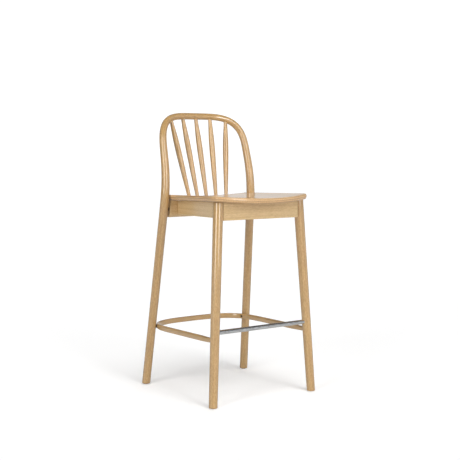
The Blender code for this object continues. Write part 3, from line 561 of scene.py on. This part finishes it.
# ---- rails --------------------------------------------------------------------------
def rail(name, low_ends, high_ends, low_at_middle, seed, finish):
    """An upright rail with eased arrises: a rounded rectangle whose lower edge is level
    across and whose upper edge follows the seat's underside.

    The plan line runs from the first of each pair to the second, and differs between the
    lower edge and the upper, so that an end can lean.
    """
    low_ends, high_ends = np.asarray(low_ends), np.asarray(high_ends)
    run = unit(low_ends[1] - low_ends[0])
    thick = RAIL_THICK / 2 / np.abs(run).max()
    wide = np.array((thick, 0.0)) if abs(run[1]) > abs(run[0]) else np.array((0.0, thick))
    turn = np.linspace(0.0, math.pi / 2, 6)
    inset = np.concatenate(((0.0,), RAIL_ROUND * (1 - np.cos(turn)), (RAIL_ROW,)))
    raise_by = np.concatenate(((RAIL_ROW,), RAIL_ROUND * (1 - np.sin(turn)), (0.0,)))
    across = 1 - inset / thick
    sign = np.repeat((-1.0, 1.0, 1.0, -1.0), len(inset))
    is_top = np.repeat((0.0, 1.0), 2 * len(inset))
    width = sign * np.concatenate((across, across[::-1], across, across[::-1]))
    lift = np.concatenate((raise_by, raise_by[::-1], raise_by, raise_by[::-1]))
    length = float(np.linalg.norm(low_ends[1] - low_ends[0]))
    along = stations(length, RAIL_ROUND, RAIL_RINGS)
    shares = along / length
    rounding = eased(along, np.full(len(along), RAIL_ROUND), RAIL_ROUND) - RAIL_ROUND
    low_line = low_ends[0] + shares[:, None] * (low_ends[1] - low_ends[0])
    high_line = high_ends[0] + shares[:, None] * (high_ends[1] - high_ends[0])
    line = np.where(is_top[None, :, None] > 0, high_line[:, None], low_line[:, None])
    narrowed = 1 + rounding[:, None] / thick
    plan = line + (width[None] * narrowed)[..., None] * wide
    raised = lift[None] - rounding[:, None]
    top = seat_underside(plan[..., 0], plan[..., 1]) - raised
    bottom = low_at_middle - FALL * plan[..., 1] + raised
    height = np.where(is_top[None] > 0, top, bottom)
    rings = np.concatenate((plan, height[..., None]), axis=2)
    section = np.stack((np.broadcast_to(width[None] * thick, height.shape),
                        height - low_at_middle), axis=2)
    return skinned("sawn_" + name, rings, stock_of(along, section, seed), finish, "rail_wood",
                   name)


def rails(finish):
    """Front and rear rails from leg to leg, and the side rails between them."""
    front_x = leg_axis(1, END_RAIL_LOW)[0] - FRONT_RAIL_SEAM
    line = ((-front_x, FRONT_RAIL_Y), (front_x, FRONT_RAIL_Y))
    rail("front_rail", line, line, END_RAIL_LOW, 61, finish)
    low, high = (((-x, REAR_RAIL_Y), (x, REAR_RAIL_Y)) for x in REAR_RAIL_HALF)
    rail("rear_rail", low, high, END_RAIL_LOW, 62, finish)
    rear_y = REAR_RAIL_Y - RAIL_THICK / 2 - TOUCH
    for side in SIDE:
        line = ((side * SIDE_RAIL_FRONT[0], SIDE_RAIL_FRONT[1]), (side * SIDE_RAIL_REAR, rear_y))
        rail("side_rail" + SIDE[side], line, line, SIDE_RAIL_LOW, 64 + side, finish)


# ---- metal and nylon ------------------------------------------------------------------
def footrest(finish):
    """The bar: a round rod with softened ends, from inside one front leg to the other."""
    low, high = (np.array(corner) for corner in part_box("footrest_bar"))
    start = np.array((low[0], (low[1] + high[1]) / 2, (low[2] + high[2]) / 2))
    count, sides = BAR_GRID
    lengths = stations(high[0] - low[0], BAR_EDGE, count)
    radii = eased(lengths, np.full(len(lengths), BAR_RADIUS), BAR_EDGE)
    return turned("steel_bar", start, (1.0, 0.0, 0.0), (lengths, radii), sides, 80, finish,
                  "polished_steel", "footrest_bar")


def glide(name, finish):
    """A moulded disc with a rounded rim, under its stem."""
    low, high = (np.array(corner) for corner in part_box(name))
    centre = (low + high) / 2
    disc = (high[0] - low[0]) / 2
    turn = np.linspace(0.0, math.pi / 2, EDGE_ROWS)
    rim, shoulder, stem, stem_rows = 0.0006, 0.0012, 0.0035, 8
    lengths = np.concatenate((rim * (1 - np.cos(turn)),
                              (shoulder - 0.0002, shoulder, shoulder + 0.00001),
                              np.linspace(shoulder + 0.0001, high[2] - low[2], stem_rows)))
    radii = np.concatenate((disc - rim * (1 - np.sin(turn)),
                            (disc, disc - 0.0002, stem + 0.0005), np.full(stem_rows, stem)))
    return turned("moulded_" + name, (centre[0], centre[1], low[2]), (0.0, 0.0, 1.0),
                  (lengths, radii), GLIDE_SIDES, 90, finish, "glide_nylon", name)


# ---- shader helpers ---------------------------------------------------------------------
def node(tree, kind, **settings):
    """A node of that kind, its settings given by the names of its attributes or sockets."""
    made = tree.nodes.new(kind)
    for key, value in settings.items():
        if hasattr(made, key) and key not in ("inputs", "outputs"):
            setattr(made, key, value)
        else:
            made.inputs[key.replace("_", " ").title()].default_value = value
    return made


def stretched_noise(tree, vector, along, across, detail):
    """Noise drawn out along the grain: so many cells to the metre along it and across it."""
    mapping = node(tree, "ShaderNodeMapping")
    mapping.inputs["Scale"].default_value = (along, across, across)
    tree.links.new(vector, mapping.inputs["Vector"])
    noise = node(tree, "ShaderNodeTexNoise", scale=1.0, detail=detail, roughness=0.55)
    tree.links.new(mapping.outputs["Vector"], noise.inputs["Vector"])
    return noise.outputs["Fac"]


def ranged(tree, value, low, high):
    """The value's stretch from low to high, spread smoothly over 0 to 1."""
    made = node(tree, "ShaderNodeMapRange", interpolation_type="SMOOTHSTEP", clamp=True)
    made.inputs["From Min"].default_value = low
    made.inputs["From Max"].default_value = high
    tree.links.new(value, made.inputs["Value"])
    return made.outputs["Result"]


def maths(tree, operation, *values):
    """A Math node on one or two values, each a socket or a fixed number."""
    made = node(tree, "ShaderNodeMath", operation=operation)
    for socket, value in zip(made.inputs, values):
        if isinstance(value, (int, float)):
            socket.default_value = value
        else:
            tree.links.new(value, socket)
    return made.outputs["Value"]


def mixed(tree, factor, first, second):
    """A colour mix whose factor and colours may each be a socket or a fixed value."""
    made = node(tree, "ShaderNodeMix", data_type="RGBA")
    sockets = (made.inputs["Factor"], made.inputs[6], made.inputs[7])
    for socket, value in zip(sockets, (factor, first, second)):
        if isinstance(value, bpy.types.NodeSocket):
            tree.links.new(value, socket)
        else:
            socket.default_value = value
    return made.outputs[2]


def new_group(name, inputs, outputs):
    """A shader group with those named sockets, and its own input and output nodes."""
    group = bpy.data.node_groups.new(name, "ShaderNodeTree")
    for label, kind in inputs:
        group.interface.new_socket(name=label, in_out="INPUT", socket_type="NodeSocket" + kind)
    for label, kind in outputs:
        group.interface.new_socket(name=label, in_out="OUTPUT", socket_type="NodeSocket" + kind)
    return group, group.nodes.new("NodeGroupInput"), group.nodes.new("NodeGroupOutput")


def timber_group():
    """Grain of a light hardwood: growth rings round a far pith, drawn-out streaks, a slow
    change of tone, short flecks, fine fibre, and small dark pores."""
    group, given, result = new_group(
        "timber_grain",
        (("Place", "Vector"), ("Pale", "Color"), ("Deep", "Color"), ("Pore", "Color"),
         ("Ring Scale", "Float")),
        (("Color", "Color"), ("Roughness", "Float"), ("Height", "Float")))
    place = given.outputs["Place"]
    rings = node(group, "ShaderNodeTexWave", wave_type="RINGS", rings_direction="X",
                 distortion=2.4, detail=2.0)
    rings.inputs["Detail Scale"].default_value = 0.35
    slow = node(group, "ShaderNodeMapping")
    slow.inputs["Scale"].default_value = (0.10, 1.0, 1.0)
    group.links.new(place, slow.inputs["Vector"])
    group.links.new(slow.outputs["Vector"], rings.inputs["Vector"])
    group.links.new(given.outputs["Ring Scale"], rings.inputs["Scale"])
    late = ranged(group, rings.outputs["Fac"], 0.45, 1.0)
    streak = ranged(group, stretched_noise(group, place, 3.0, 240.0, 4.0), 0.30, 0.72)
    tone = ranged(group, stretched_noise(group, place, 1.2, 26.0, 2.0), 0.30, 0.70)
    fibre = stretched_noise(group, place, 40.0, 1500.0, 3.0)
    pores = ranged(group, stretched_noise(group, place, 70.0, 1300.0, 1.0), 0.62, 0.74)
    fleck = ranged(group, stretched_noise(group, place, 95.0, 330.0, 3.0), 0.34, 0.68)
    grain = 0.0
    for part, weight in ((late, 0.13), (streak, 0.38), (tone, 0.15), (fleck, 0.34)):
        grain = maths(group, "ADD", grain, maths(group, "MULTIPLY", part, weight))
    body = mixed(group, grain, given.outputs["Pale"], given.outputs["Deep"])
    group.links.new(mixed(group, maths(group, "MULTIPLY", pores, 0.45), body,
                          given.outputs["Pore"]), result.inputs["Color"])
    open_grain = maths(group, "ADD", maths(group, "MULTIPLY", streak, 0.07),
                       maths(group, "MULTIPLY", pores, 0.12))
    group.links.new(maths(group, "ADD", 0.30, open_grain), result.inputs["Roughness"])
    height = maths(group, "SUBTRACT", maths(group, "MULTIPLY", fibre, 0.35), pores)
    group.links.new(height, result.inputs["Height"])
    return group


def ply_group():
    """Pressed layers: dark and light lines at even depths below the top, on the edge only."""
    group, given, result = new_group("pressed_layers", (("Depth", "Float"),),
                                     (("Line", "Float"), ("Edge", "Float")))
    depth = given.outputs["Depth"]
    below_first = maths(group, "SUBTRACT", depth, FIRST_LAYER)
    turn = maths(group, "MULTIPLY", below_first, FULL_TURN / LAYER)
    line = ranged(group, maths(group, "COSINE", turn), -0.3, 0.9)
    edge = maths(group, "MULTIPLY", ranged(group, depth, 0.0012, 0.0026),
                ranged(group, maths(group, "SUBTRACT", SEAT_THICK, depth), 0.0010, 0.0024))
    group.links.new(line, result.inputs["Line"])
    group.links.new(edge, result.inputs["Edge"])
    return group


# ---- finishes -----------------------------------------------------------------------------
def principled(name, roughness, metallic=0.0, coat=0.0, coat_roughness=0.1):
    """A Principled shader with its uniform values set on its own sockets."""
    made = bpy.data.materials.new(name)
    made.use_nodes = True
    shader = made.node_tree.nodes["Principled BSDF"]
    values = {"Roughness": roughness, "Metallic": metallic,
              "Coat Weight": coat, "Coat Roughness": coat_roughness}
    for label, value in values.items():
        shader.inputs[label].default_value = value
    return made, made.node_tree, shader


def bump(tree, shader, height, distance, strength):
    """Fine relief in the shading: the height in metres is its value times the distance."""
    made = node(tree, "ShaderNodeBump", strength=strength, distance=distance)
    tree.links.new(height, made.inputs["Height"])
    tree.links.new(made.outputs["Normal"], shader.inputs["Normal"])


def stock_place(tree):
    """Where a point lay in the straight timber or bar, as its piece's attribute says."""
    return node(tree, "ShaderNodeAttribute", attribute_name="stock").outputs["Vector"]


def object_place(tree):
    """Where a point lies in the part's own frame."""
    return node(tree, "ShaderNodeTexCoord").outputs["Object"]


def grouped(tree, group, **inputs):
    """A group placed in a material; each input is a socket to link or a fixed value."""
    made = tree.nodes.new("ShaderNodeGroup")
    made.node_tree = group
    for key, value in inputs.items():
        socket = made.inputs[key.replace("_", " ").title()]
        if isinstance(value, bpy.types.NodeSocket):
            tree.links.new(value, socket)
        else:
            socket.default_value = value
    return made.outputs


def wood(name, grain, colours, ring_scale, coat, coat_roughness, coat_ior=1.85,
         place_of=stock_place):
    """Lacquered wood: the grain group feeds colour, roughness and bump, under a clear coat."""
    made, tree, shader = principled(name, 0.35, coat=coat, coat_roughness=coat_roughness)
    shader.inputs["Specular IOR Level"].default_value = 0.25
    shader.inputs["Coat IOR"].default_value = coat_ior
    pale, deep = colours
    timber = grouped(tree, grain, place=place_of(tree), pale=pale, deep=deep, pore=PORE,
                     ring_scale=ring_scale)
    tree.links.new(timber["Color"], shader.inputs["Base Color"])
    tree.links.new(timber["Roughness"], shader.inputs["Roughness"])
    bump(tree, shader, timber["Height"], 0.0002, 0.25)
    return made


def seat_wood(grain, plies):
    """The seat's lacquered face veneer, with the pressed layers' lines round its edge."""
    made = wood("seat_lacquered", grain, SEAT_VENEER, 38.0, 0.75, 0.05, coat_ior=1.5)
    tree = made.node_tree
    base_colour = tree.nodes["Principled BSDF"].inputs["Base Color"]
    veneer = base_colour.links[0].from_socket
    split = node(tree, "ShaderNodeSeparateXYZ")
    tree.links.new(stock_place(tree), split.inputs["Vector"])
    layers = grouped(tree, plies, depth=split.outputs["Z"])
    shown = maths(tree, "MULTIPLY", layers["Edge"], layers["Line"])
    toned = mixed(tree, maths(tree, "MULTIPLY", shown, 0.62), veneer, EDGE_LINE)
    tree.links.new(toned, base_colour)
    return made


def steel():
    """Polished steel: fine lines left by polishing, slanting a little across the bar."""
    made, tree, shader = principled("polished_bar", 0.16, 1.0)
    slant = node(tree, "ShaderNodeMapping", vector_type="TEXTURE")
    slant.inputs["Rotation"].default_value = (0.0, math.radians(9), math.radians(7))
    tree.links.new(stock_place(tree), slant.inputs["Vector"])
    slanted = slant.outputs["Vector"]
    lines = ranged(tree, stretched_noise(tree, slanted, 14.0, 420.0, 2.0), 0.30, 0.70)
    fine = stretched_noise(tree, slanted, 40.0, 2200.0, 2.0)
    tree.links.new(mixed(tree, lines, DULL_STEEL, BRIGHT_STEEL), shader.inputs["Base Color"])
    rough = maths(tree, "ADD", 0.08, maths(tree, "MULTIPLY", fine, 0.12))
    tree.links.new(rough, shader.inputs["Roughness"])
    bump(tree, shader, maths(tree, "ADD", lines, fine), 0.0002, 0.10)
    return made


def plated(name, low, high):
    """Plated screws and studs: a dull metal, mottled between two greys."""
    made, tree, shader = principled(name, 0.4, 1.0)
    mottle = stretched_noise(tree, object_place(tree), 420.0, 420.0, 3.0)
    shade = mixed(tree, ranged(tree, mottle, 0.3, 0.7), low, high)
    tree.links.new(shade, shader.inputs["Base Color"])
    tree.links.new(maths(tree, "ADD", 0.26, maths(tree, "MULTIPLY", mottle, 0.22)),
                   shader.inputs["Roughness"])
    return made


def nylon(name, colour):
    """Moulded nylon: a fine matt grain over one colour, a shade lighter where it is rougher."""
    made, tree, shader = principled(name, 0.5)
    grain = stretched_noise(tree, object_place(tree), 1100.0, 1100.0, 2.0)
    lighter = tuple(min(1.0, channel * 1.7) for channel in colour[:3]) + (1.0,)
    tree.links.new(mixed(tree, ranged(tree, grain, 0.35, 0.7), colour, lighter),
                   shader.inputs["Base Color"])
    tree.links.new(maths(tree, "ADD", 0.38, maths(tree, "MULTIPLY", grain, 0.25)),
                   shader.inputs["Roughness"])
    bump(tree, shader, grain, 0.0001, 0.15)
    return made


# ---- setting ---------------------------------------------------------------------------
def studio():
    """A wide pale floor, the surround, and two broad lights: one from above that casts the
    shadow, and a weaker one from behind. The camera sees the floor a little brighter than
    the stool does, so that it reads as white."""
    half = FLOOR_HALF
    mesh = bpy.data.meshes.new("floor")
    mesh.from_pydata([(-half, -half, 0), (half, -half, 0), (half, half, 0), (-half, half, 0)],
                     [], [(0, 1, 2, 3)])
    floor = bpy.data.objects.new("floor", mesh)
    bpy.context.scene.collection.objects.link(floor)
    paint, tree, shader = principled("floor_paint", 0.9)
    shader.inputs["Specular IOR Level"].default_value = 0.0
    shader.inputs["Emission Strength"].default_value = 1.0
    seen = node(tree, "ShaderNodeLightPath").outputs["Is Camera Ray"]
    for label, to_stool, to_camera in (("Base Color", 0.72, 0.83), ("Emission Color", 0.0, 0.265)):
        tree.links.new(mixed(tree, seen, grey(to_stool), grey(to_camera)), shader.inputs[label])
    mesh.materials.append(paint)

    surround()
    broad_light("sky", (-0.06, -0.41, 1.0), 32, 1.42)
    broad_light("behind", (0.57, 0.82, 0.45), 60, 0.75)


def grey(value):
    """An opaque colour with three equal channels."""
    return (value, value, value, 1.0)


def surround():
    """Dim all round but for the lamps; the camera itself sees white.

    Each lamp is a mask on the direction looked in: how far it points along the lamp's
    bearing, how little across it, and how low it is.
    """
    world = bpy.data.worlds.new("surround")
    bpy.context.scene.world = world
    world.use_nodes = True
    tree = world.node_tree
    look = node(tree, "ShaderNodeTexCoord").outputs["Generated"]
    split = node(tree, "ShaderNodeSeparateXYZ")
    tree.links.new(look, split.inputs["Vector"])
    light = DIM
    for bearing, half_width, ceiling, strength in LAMPS:
        turn = math.radians(bearing)
        toward = along_level(tree, look, (math.cos(turn), math.sin(turn), 0.0))
        aside = maths(tree, "ABSOLUTE",
                      along_level(tree, look, (-math.sin(turn), math.cos(turn), 0.0)))
        narrow = ranged(tree, aside, half_width * 1.3, half_width * 0.7)
        low = ranged(tree, split.outputs["Z"], ceiling * 1.25, ceiling * 0.8)
        shape = maths(tree, "MULTIPLY", ranged(tree, toward, 0.05, 0.35),
                      maths(tree, "MULTIPLY", narrow, low))
        light = maths(tree, "ADD", light, maths(tree, "MULTIPLY", shape, strength))
    seen = node(tree, "ShaderNodeLightPath").outputs["Is Camera Ray"]
    tree.links.new(mixed(tree, seen, light, grey(1.1)), tree.nodes["Background"].inputs["Color"])


def along_level(tree, look, line):
    """How far the direction looked in points along a level line."""
    made = node(tree, "ShaderNodeVectorMath", operation="DOT_PRODUCT")
    tree.links.new(look, made.inputs[0])
    made.inputs[1].default_value = line
    return made.outputs["Value"]


def broad_light(name, toward, spread, strength):
    """An even light from that direction, as wide across as the spread in degrees. It lights
    the stool but is not itself mirrored in the lacquer."""
    light = bpy.data.lights.new(name, "SUN")
    light.energy = strength
    light.angle = math.radians(spread)
    lamp = bpy.data.objects.new(name, light)
    lamp.rotation_euler = Vector(toward).to_track_quat("Z", "Y").to_euler()
    lamp.visible_glossy = False
    bpy.context.scene.collection.objects.link(lamp)


def camera():
    """A long lens from the front left, a little above the seat and tipped slightly down."""
    lens = bpy.data.cameras.new("camera")
    lens.lens = CAMERA_LENS
    lens.shift_y = CAMERA_SHIFT
    view = bpy.data.objects.new("camera", lens)
    view.location = CAMERA_PLACE
    view.rotation_euler = tuple(math.radians(angle) for angle in CAMERA_TURN)
    bpy.context.scene.collection.objects.link(view)
    bpy.context.scene.camera = view


def dress_cad(names, finish):
    """Gives the finish to CAD nodes that are shown as they are."""
    for name in names:
        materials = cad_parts[name].data.materials
        materials.clear()
        materials.append(finish)


def main():
    """Camera and setting, then the pieces in their finishes, then the CAD nodes kept."""
    camera()
    studio()
    bpy.context.scene.view_settings.view_transform = "Standard"
    grain, plies = timber_group(), ply_group()
    bent = wood("bent_lacquered", grain, ROUND_WOOD, 62.0, 1.0, 0.095)
    lathe_turned = wood("turned_lacquered", grain, ROUND_WOOD, 70.0, 1.0, 0.095)
    sawn = wood("rail_lacquered", grain, SAWN_WOOD, 50.0, 0.7, 0.16)
    block = wood("block_sawn", grain, SAWN_WOOD, 26.0, 0.0, 0.3, place_of=object_place)
    dark = nylon("dark_nylon", (0.050, 0.040, 0.035, 1.0))

    bent_rod(bent)
    stretcher(bent)
    seat(seat_wood(grain, plies))
    rails(sawn)
    for number, (base, top) in enumerate(spindle_axes(), 1):
        spindle(number, base, top, lathe_turned)
    for side in SIDE:
        front_leg(side, lathe_turned)
    footrest(steel())
    for place in ("front", "rear"):
        for side in SIDE:
            glide(place + "_glide" + SIDE[side], dark)

    names = sorted(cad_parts)
    fixings = [n for n in names if "screw" in n or "stud" in n or "nut" in n]
    dress_cad([n for n in names if "block" in n and n not in fixings], block)
    dress_cad(["ring_spacer_left", "ring_spacer_right"],
              nylon("black_nylon", (0.020, 0.020, 0.020, 1.0)))
    dress_cad(["frame_spacer_left", "frame_spacer_right"],
              nylon("brown_nylon", (0.085, 0.052, 0.030, 1.0)))
    dress_cad(fixings, plated("zinc_plated", (0.50, 0.50, 0.49, 1.0), (0.66, 0.66, 0.63, 1.0)))
    dress_cad([n for n in fixings if n.startswith("ring_")],
              plated("blackened_screw", (0.020, 0.018, 0.016, 1.0), (0.045, 0.040, 0.036, 1.0)))


main()
